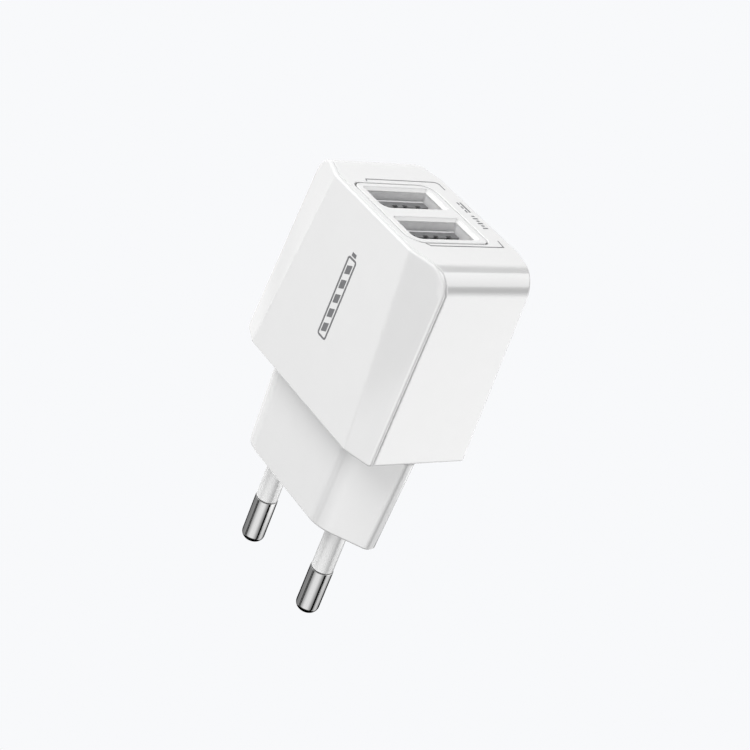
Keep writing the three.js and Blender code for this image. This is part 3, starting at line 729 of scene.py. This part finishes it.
def stroke(points, width):
    """The outline of a line of one width with square ends, round a list of flat points."""
    left, right = [], []
    for i, point in enumerate(points):
        here = Vector(point)
        before = (here - Vector(points[i - 1])).normalized() if i else None
        after = (Vector(points[i + 1]) - here).normalized() if i < len(points) - 1 else None
        one, two = before or after, after or before
        side_one, side_two = Vector((-one.y, one.x)), Vector((-two.y, two.x))
        mitre = (side_one + side_two).normalized()
        reach = width / 2 / mitre.dot(side_one)
        left.append(tuple(here + mitre * reach))
        right.append(tuple(here - mitre * reach))
    return left + list(reversed(right))


def arc(centre, radius, first, last, steps=6):
    return [
        (centre[0] + radius * math.cos(a), centre[1] + radius * math.sin(a))
        for a in even(math.radians(first), math.radians(last), steps)
    ]


def on_usb_face(x, y, out):
    return x, y, BODY_TOP + out


def on_flat(x, z, out):
    return x, face_y("front", x, z) - out, z


def printed(name, outlines, place):
    """Thin shapes on a face; place turns a flat point and a height above the face into X, Y, Z."""
    mark = Solid()
    for outline in outlines:
        mark.rings([[place(*point, out) for point in outline] for out in (-PRINT_ROOT, PRINT)])
    return mark.object(name)


def port_brackets():
    """The two thin brackets printed round the bezel."""
    bend = arc(LEFT_BRACKET_ARC["centre"], LEFT_BRACKET_ARC["radius"], 180, 90)
    left = LEFT_BRACKET + bend[1:] + [LEFT_BRACKET_END]
    lines = [stroke(left, BRACKET_LINE), stroke(RIGHT_BRACKET, BRACKET_LINE)]
    return printed("print_port_brackets", lines, on_usb_face)


def rating_marks():
    """A direct-current sign, one long dash over three short ones, and a row of ticks beside it."""
    y = LONG_DASH["y"]
    marks = [stroke([(LONG_DASH["left"], y), (LONG_DASH["right"], y)], MARK_LINE)]
    for i in range(SHORT_DASHES["count"]):
        x, y = SHORT_DASHES["left"] + SHORT_DASHES["pitch"] * i, SHORT_DASHES["y"]
        marks.append(stroke([(x, y), (x + SHORT_DASHES["length"], y)], MARK_LINE))
    for i in range(TICKS["count"]):
        x, y, half = TICKS["left"] + TICKS["pitch"] * i, TICKS["y"], TICKS["halves"][i % 2]
        marks.append(stroke([(x, y - half), (x, y + half)], MARK_LINE))
    return printed("print_rating_marks", marks, on_usb_face)


def charge_symbol():
    """A battery with slanting bars, running up the front."""
    x, low, high, half, corner, line = BATTERY.values()
    outline = {"half_x": half, "half_y": (high - low) / 2, "radii": (corner,) * 4}
    case = Solid()
    made = []
    for grow, out in ((0, -PRINT_ROOT), (0, PRINT), (-line, PRINT), (-line, -PRINT_ROOT)):
        ring = rounded_ring(outline, grow, (low + high) / 2, steps=6)
        made.append(case.add([on_flat(x + px, middle + pz, out) for px, pz, middle in ring]))
    for ring, other in zip(made, made[1:] + made[:1]):
        case.band(ring, other)
    left, right, bottom, top = x - KNOB["half"], x + KNOB["half"], high + KNOB["gap"], high + KNOB["top"]
    shapes = [[(left, bottom), (right, bottom), (right, top), (left, top)]]
    left, right, height, lean = x - BARS["half"], x + BARS["half"], BARS["height"], BARS["lean"]
    for i in range(BARS["count"]):
        z = low + BARS["first"] + BARS["pitch"] * i
        shapes.append([(left, z), (right, z + lean), (right, z + lean + height), (left, z + height)])
    return join(printed("print_charge_symbol", shapes, on_flat), case.object("case"))


# ---- finishes

NOISE_LOW, NOISE_HIGH = 0.3, 0.7  # nearly all of a noise pattern lies between these
STRIPE_LOW, STRIPE_HIGH = 0.25, 0.75
STRIPE_GRAIN = 900
STRIPE_SPREAD = 0.05  # of the roughness

class Nodes:
    """A material's node tree, with short ways to add and link nodes."""

    def __init__(self, name):
        self.material = bpy.data.materials.new(name)
        self.material.use_nodes = True
        self.tree = self.material.node_tree
        self.shader = self.tree.nodes["Principled BSDF"]
        self.place = self.add("ShaderNodeTexCoord").outputs["Object"]

    def add(self, kind, **settings):
        node = self.tree.nodes.new(kind)
        for key, value in settings.items():
            setattr(node, key, value)
        return node

    def link(self, source, target):
        self.tree.links.new(source, target)

    def noise(self, scale, detail=3.0, stretch=(1, 1, 1)):
        """Noise with about scale features to the metre, from 0 to 1."""
        mapping = self.add("ShaderNodeMapping")
        mapping.inputs["Scale"].default_value = stretch
        self.link(self.place, mapping.inputs["Vector"])
        noise = self.add("ShaderNodeTexNoise")
        noise.inputs["Scale"].default_value = scale
        noise.inputs["Detail"].default_value = detail
        self.link(mapping.outputs["Vector"], noise.inputs["Vector"])
        return noise.outputs["Fac"]

    def bands(self, scale, direction, distortion):
        """Soft stripes across a direction, from 0 to 1."""
        wave = self.add("ShaderNodeTexWave", bands_direction=direction)
        wave.inputs["Scale"].default_value = scale
        wave.inputs["Distortion"].default_value = distortion
        self.link(self.place, wave.inputs["Vector"])
        return wave.outputs["Fac"]

    def between(self, source, low, high, start=NOISE_LOW, stop=NOISE_HIGH):
        """The source's start to stop range, spread over low to high."""
        spread = self.add("ShaderNodeMapRange")
        for key, value in (("From Min", start), ("From Max", stop), ("To Min", low), ("To Max", high)):
            spread.inputs[key].default_value = value
        self.link(source, spread.inputs["Value"])
        return spread.outputs["Result"]

    def rough(self, source, low, high):
        """A pattern's range as roughness."""
        self.link(self.between(source, low, high), self.shader.inputs["Roughness"])

    def colours(self, source, stops):
        """A ramp between two (position, colour) stops, as the base colour."""
        ramp = self.add("ShaderNodeValToRGB")
        for element, (position, colour) in zip(ramp.color_ramp.elements, stops):
            element.position = position
            element.color = (*colour, 1)
        self.link(source, ramp.inputs["Fac"])
        self.link(ramp.outputs["Color"], self.shader.inputs["Base Color"])

    def bump(self, source, depth):
        """Relief of about depth millimetres from a 0 to 1 pattern."""
        bump = self.add("ShaderNodeBump")
        bump.inputs["Distance"].default_value = depth * MM
        self.link(source, bump.inputs["Height"])
        self.link(bump.outputs["Normal"], self.shader.inputs["Normal"])

    def set(self, sockets):
        """Even values, straight on the shader's sockets."""
        for key, value in sockets.items():
            self.shader.inputs[key.replace("_", " ")].default_value = value


def shade(colour, factor):
    return tuple(min(c * factor, 1.0) for c in colour)


def finish(name, colour, roughness, mottle, grain, relief=0.0, spread=0.03, stretch=(1, 1, 1), **sockets):
    """A finish whose colour, roughness and relief vary a little from place to place."""
    made = Nodes(name)
    pattern = made.noise(grain, stretch=stretch)
    stops = [(NOISE_LOW, shade(colour, 1 - mottle)), (NOISE_HIGH, shade(colour, 1 + mottle))]
    made.colours(pattern, stops)
    fine = made.noise(4 * grain, detail=2.0, stretch=stretch)
    made.rough(fine, roughness - spread, roughness + spread)
    if relief:
        made.bump(fine, relief)
    made.set(sockets)
    return name, made.material


def striped(name, colours, scale, direction, roughness, relief, **sockets):
    """Two colours in slightly uneven stripes, for windings, tape and printed sleeves."""
    made = Nodes(name)
    stripes = made.bands(scale, direction, distortion=0.3)
    made.colours(stripes, [(STRIPE_LOW, colours[0]), (STRIPE_HIGH, colours[1])])
    made.rough(made.noise(STRIPE_GRAIN), roughness - STRIPE_SPREAD, roughness + STRIPE_SPREAD)
    made.bump(stripes, relief)
    made.set(sockets)
    return name, made.material


def board_laminate():
    """Green solder mask over a glass weave, with paler traces under it."""
    made = Nodes("board_laminate")
    traces = made.between(made.bands(260, "DIAGONAL", 9.0), 0, 1, 0.55, 0.6)
    made.colours(traces, [(0.2, (0.012, 0.085, 0.035)), (0.8, (0.02, 0.15, 0.06))])
    weave = made.bands(900, "X", 0.4)
    made.rough(made.noise(1500), 0.28, 0.4)
    made.bump(weave, 0.006)
    return "board_laminate", made.material


# Each slot's finish.
MATERIALS = dict([
    finish(
        "white_gloss_plastic", (0.8, 0.8, 0.8), 0.24, mottle=0.006, grain=260, relief=0.0006,
        IOR=1.5, Coat_Weight=1.0, Coat_Roughness=0.07, Coat_IOR=1.9,
    ),
    finish(
        "white_satin_plastic", (0.82, 0.82, 0.82), 0.3, mottle=0.008, grain=300, spread=0.015,
        Coat_Weight=1.0, Coat_Roughness=0.1, Coat_IOR=1.8,
    ),
    finish(
        "nickel_pin", (0.49, 0.49, 0.49), 0.1, mottle=0.04, grain=900, relief=0.0006, stretch=(1, 1, 0.08),
        spread=0.02, Metallic=1.0, Specular_Tint=(0.0, 0.0, 0.0, 1),
    ),
    finish(
        "port_steel", (0.88, 0.88, 0.885), 0.42, mottle=0.04, grain=900, relief=0.002, stretch=(0.2, 1, 1),
        Metallic=0.3,
    ),
    finish("contact_gold", (0.83, 0.58, 0.24), 0.25, mottle=0.06, grain=1800, relief=0.001, Metallic=1.0),
    finish("tongue_plastic", (0.2, 0.2, 0.205), 0.45, mottle=0.08, grain=1500, relief=0.003),
    board_laminate(),
    finish("ferrite", (0.035, 0.036, 0.04), 0.55, mottle=0.25, grain=2500, relief=0.01),
    striped("winding_tape", ((0.62, 0.42, 0.06), (0.78, 0.58, 0.12)), 190, "X", 0.35, relief=0.03),
    striped("capacitor_sleeve", ((0.012, 0.02, 0.055), (0.03, 0.045, 0.11)), 120, "X", 0.3, relief=0.004),
    finish("blue_epoxy", (0.04, 0.14, 0.42), 0.35, mottle=0.12, grain=900, relief=0.006),
    finish("grey_epoxy", (0.2, 0.3, 0.25), 0.45, mottle=0.12, grain=900, relief=0.006),
    finish("chip_black", (0.018, 0.018, 0.02), 0.5, mottle=0.2, grain=2600, relief=0.006),
    striped(
        "copper_wire", ((0.42, 0.14, 0.05), (0.75, 0.33, 0.15)), 900, "Z", 0.3, relief=0.05, Metallic=1.0,
    ),
    finish("ceramic_tan", (0.42, 0.26, 0.13), 0.4, mottle=0.1, grain=1800, relief=0.004),
    finish("clear_film", (0.62, 0.6, 0.5), 0.3, mottle=0.05, grain=300, relief=0.004),
    finish("grey_print", (0.17, 0.172, 0.178), 0.55, mottle=0.06, grain=2500, spread=0.05),
])


# ---- making the pieces

def finished(piece, slot, body="root", crease=32):
    """Smooths a piece and settles it in place of the CAD node that it's named after."""
    settle(smoothed(piece, crease), slot, body, [piece.name.removeprefix("charger_")])


def make_casing():
    for piece in (front_cover(), rear_housing(), port_bezel(), plug_shell()):
        finished(piece, "white_gloss_plastic")


def make_pins():
    for side, sign in SIDES:
        finished(pin(side, sign), "nickel_pin", crease=50)
        finished(pin_sleeve(side, sign), "white_satin_plastic", crease=50)


def make_ports():
    for side, sign in SIDES:
        finished(usb_shell(side, sign), "port_steel")
        finished(usb_insulator(side, sign), "tongue_plastic")
        settle(smoothed(tongue_plate(side, sign)), "port_steel")
        for number in range(1, len(CONTACT_Y) + 1):
            leaf = usb_contact(side, sign, number)
            finished(leaf, "contact_gold", body=f"{side}_contacts", crease=40)


def make_prints():
    for made in (port_brackets(), rating_marks(), charge_symbol()):
        settle(made, "grey_print")


def finish_cad_nodes():
    """Every node that stays as the CAD made it gets its slot's finish."""
    slots = {part["node"]: part["material_slot"] for part in frame["record"]["subparts"]}
    for name, node in frame["nodes"].items():
        node.data.materials.clear()
        node.data.materials.append(MATERIALS[slots[name]])


make_casing()
make_pins()
make_ports()
make_prints()
finish_cad_nodes()


# ---- studio

# Distances are in metres. Lights' directions from the middle are in degrees: azimuth 0 is +X, 90 is +Y.
FLOOR_Z = -0.15
ROOM_HALF = 1.5
ROOM_TOP = 1.5
MIDDLE = Vector((0, 0, 0.02))
LIGHT_DISTANCE = 0.8
SOFTBOX_RADIUS = 1.2
FLAG_RADIUS = 0.8
RADIUS_STEP = 0.02  # the reflectors are nested, the first ones nearest
PANEL_STEPS = (24, 16)  # across and up each reflector
BACKDROP = (0.975, 0.983, 1.0)
BACKDROP_GLOW = 0.963
AMBIENT = 0.45

# The camera: the point at the picture's middle and the distance to it in mm, angles in degrees (the
# azimuth from the front towards the right side), the focal length in mm and the clip range in metres.
SENSOR_WIDTH = 36.0
CAMERA = {
    "aim": (2.833, 1.057, 23.410), "distance": 322.83,
    "azimuth": 46.68, "elevation": 27.28, "roll": 22.03, "lens": 97.65, "clip": (0.01, 20.0),
}

# Area lights: azimuth, elevation, size in metres, power in watts.
AREA_LIGHTS = {
    "key": (-95, 50, 0.5, 4.4),
    "left_fill": (-165, 20, 0.5, 3.3),
    "front_fill": (-45, -5, 0.5, 1.25),
}

# Reflectors: azimuths, elevations, brightness, softness of the (first, last, lower, upper) edges.
# Softboxes glow; flags are black cards in front of them.
REFLECTORS = {
    "side_softbox": ((24, 88), (-34, 8), 2.75, (4, 3, 2, 20)),
    "pin_softbox": ((28, 88), (-60, -30), 1.25, (22, 8, 6, 3)),
    "front_softbox": ((-108, 8), (-52, -12), 1.5, (50, 45, 8, 8)),
    "facet_softbox": ((-180, -150), (-52, -12), 0.7, (4, 14, 8, 8)),
    "right_facet_softbox": ((-108, -88), (-52, -19.5), 0.48, (4, 3, 8, 4)),
    "left_softbox": ((-180, -88), (-52, -16), 0.5, (3, 4, 8, 14)),
    "back_softbox": ((82, 182), (-34, 8), 0.9, (6, 3, 3, 6)),
    "low_softbox": ((70, 218), (-60, -38), 1.5, (10, 10, 6, 4)),
    "corner_softbox": ((40, 94), (23, 75), 1.8, (2, 2, 2, 4)),
    "top_softbox": ((105, 175), (0, 38), 0.9, (6, 6, 6, 4)),
    "bevel_softbox": ((-175, -112), (14, 62), 1.2, (6, 6, 6, 6)),
    "facet_flag": ((-106, -90), (-21.6, -8), 0.0, (3, 3, 1.8, 4)),
    "ridge_flag": ((-122, -110), (-50, -12), 0.0, (4, 4, 4, 4)),
    "pin_flag": ((-110, -98), (-60, -28), 0.0, (3, 3, 8, 3)),
    "gap_flag": ((4, 28), (-60, -12), 0.0, (4, 4, 6, 6)),
    "pin_edge_flag": ((80, 190), (-41, -34.3), 0.0, (8, 8, 2, 1)),
    "corner_flag": ((94, 131), (37, 60), 0.0, (2, 6, 6, 6)),
    "edge_flag": ((20, 60), (5, 21), 0.0, (4, 4, 4, 2)),
    "floor_flag": ((-180, 180), (-89, -48), 0.0, (1, 1, 1, 6)),
}


def emitter(name, colour, strength):
    """An evenly glowing studio material, with its node tree, its glow and its output."""
    made = bpy.data.materials.new(name)
    made.use_nodes = True
    tree = made.node_tree
    tree.nodes.clear()
    glow = tree.nodes.new("ShaderNodeEmission")
    glow.inputs["Color"].default_value = (*colour, 1)
    glow.inputs["Strength"].default_value = strength
    output = tree.nodes.new("ShaderNodeOutputMaterial")
    tree.links.new(glow.outputs["Emission"], output.inputs["Surface"])
    return made, tree, glow, output


def faded_emitter(name, strength, half_width, rise, edges, radius):
    """A glow that fades to clear towards the four edges of a curved panel facing +X."""
    made, tree, glow, output = emitter(name, (1, 1, 1), strength)
    new, link = tree.nodes.new, tree.links.new

    def math_node(operation, *values):
        node = new("ShaderNodeMath")
        node.operation = operation
        for socket, value in zip(node.inputs, values):
            link(value, socket)
        return node.outputs["Value"]

    place = new("ShaderNodeSeparateXYZ")
    link(new("ShaderNodeTexCoord").outputs["Object"], place.inputs["Vector"])
    turn = math_node("ARCTAN2", place.outputs["Y"], place.outputs["X"])
    height = place.outputs["Z"]
    low, high = rise
    first, last, lower, upper = (math.radians(edge) for edge in edges)
    mask = None
    for source, start, stop in (
        (turn, -half_width, first - half_width), (turn, half_width, half_width - last),
        (height, radius * math.sin(low), radius * math.sin(low + lower)),
        (height, radius * math.sin(high), radius * math.sin(high - upper)),
    ):
        fade = new("ShaderNodeMapRange")
        fade.interpolation_type = "SMOOTHSTEP"
        fade.inputs["From Min"].default_value = start
        fade.inputs["From Max"].default_value = stop
        link(source, fade.inputs["Value"])
        result = fade.outputs["Result"]
        mask = math_node("MULTIPLY", mask, result) if mask else result
    blend = new("ShaderNodeMixShader")
    link(mask, blend.inputs["Fac"])
    link(new("ShaderNodeBsdfTransparent").outputs["BSDF"], blend.inputs[1])
    link(glow.outputs["Emission"], blend.inputs[2])
    link(blend.outputs["Shader"], output.inputs["Surface"])
    return made


def stage_mesh(name, points, faces, material):
    mesh = bpy.data.meshes.new(name)
    mesh.from_pydata(points, [], faces)
    mesh.materials.append(material)
    made = added(name, mesh)
    return made


def direction(azimuth, elevation):
    """A unit vector for an azimuth and an elevation in radians."""
    level = math.cos(elevation)
    return Vector((math.cos(azimuth) * level, math.sin(azimuth) * level, math.sin(elevation)))


def seen_only_by(piece, camera=False, glossy=False):
    """Hides a stage piece from every kind of ray but one."""
    piece.visible_camera = camera
    piece.visible_glossy = glossy
    for kind in ("diffuse", "shadow", "transmission", "volume_scatter"):
        setattr(piece, f"visible_{kind}", False)


def reflector(name, azimuths, elevations, strength, edges, radius):
    """A curved panel with soft edges that shows only in reflections."""
    half_width = math.radians(azimuths[1] - azimuths[0]) / 2
    low, high = (math.radians(e) for e in elevations)
    turns = even(-half_width, half_width, PANEL_STEPS[0])
    rises = even(low, high, PANEL_STEPS[1])
    panel = Solid()
    panel.patch([[tuple(direction(a, e) * radius) for a in turns] for e in rises])
    material = faded_emitter(name, strength, half_width, (low, high), edges, radius)
    made = stage_mesh(name, panel.points, panel.faces, material)
    made.location = MIDDLE
    made.rotation_euler.z = math.radians(sum(azimuths) / 2)
    seen_only_by(made, glossy=True)


def area_light(name, azimuth, elevation, size, power):
    """A square softbox for the diffuse light; the reflectors stand for it in reflections."""
    data = bpy.data.lights.new(name, "AREA")
    data.shape = "SQUARE"
    data.size = size
    data.energy = power
    made = added(name, data)
    outward = direction(math.radians(azimuth), math.radians(elevation))
    made.location = outward * LIGHT_DISTANCE + MIDDLE
    made.rotation_euler = outward.to_track_quat("Z", "Y").to_euler()
    made.visible_camera = False
    made.visible_glossy = False


def backdrop():
    """A pale floor and a pale room round it, which light nothing."""
    paint = emitter("backdrop", BACKDROP, BACKDROP_GLOW)[0]
    plan = [(ROOM_HALF * x, ROOM_HALF * y) for x, y in ((-1, -1), (1, -1), (1, 1), (-1, 1))]
    floor = [(x, y, FLOOR_Z) for x, y in plan]
    ceiling = [(x, y, ROOM_TOP) for x, y in plan]
    seen_only_by(stage_mesh("floor", floor, [(0, 1, 2, 3)], paint), camera=True)
    walls = [(i, (i + 1) % 4, 4 + (i + 1) % 4, 4 + i) for i in range(4)]
    seen_only_by(stage_mesh("room", floor + ceiling, walls + [(4, 5, 6, 7)], paint), camera=True)


def make_camera():
    """A level camera turned by its roll about the line of sight."""
    data = bpy.data.cameras.new("camera")
    data.sensor_width = SENSOR_WIDTH
    data.lens = CAMERA["lens"]
    data.clip_start, data.clip_end = CAMERA["clip"]
    azimuth, elevation, roll = (math.radians(CAMERA[key]) for key in ("azimuth", "elevation", "roll"))
    looking = -direction(azimuth - QUARTER, elevation)
    level = direction(azimuth, 0)
    right = level * math.cos(roll) + level.cross(looking) * math.sin(roll)
    up = right.cross(looking)
    place = Matrix((right, up, -looking)).transposed().to_4x4()
    place.translation = (Vector(CAMERA["aim"]) - looking * CAMERA["distance"]) * MM
    made = added("camera", data)
    made.matrix_world = place
    bpy.context.scene.camera = made


def make_studio():
    backdrop()
    world = bpy.data.worlds.new("studio")
    world.use_nodes = True
    background = world.node_tree.nodes["Background"].inputs
    background["Color"].default_value = (1.0, 1.0, 1.0, 1)
    background["Strength"].default_value = AMBIENT
    bpy.context.scene.world = world
    bpy.context.scene.view_settings.view_transform = "Standard"
    for name, (azimuth, elevation, size, power) in AREA_LIGHTS.items():
        area_light(name, azimuth, elevation, size, power)
    for i, (name, (azimuths, elevations, strength, edges)) in enumerate(REFLECTORS.items()):
        radius = SOFTBOX_RADIUS if "softbox" in name else FLAG_RADIUS
        reflector(name, azimuths, elevations, strength, edges, radius + RADIUS_STEP * i)


make_camera()
make_studio()
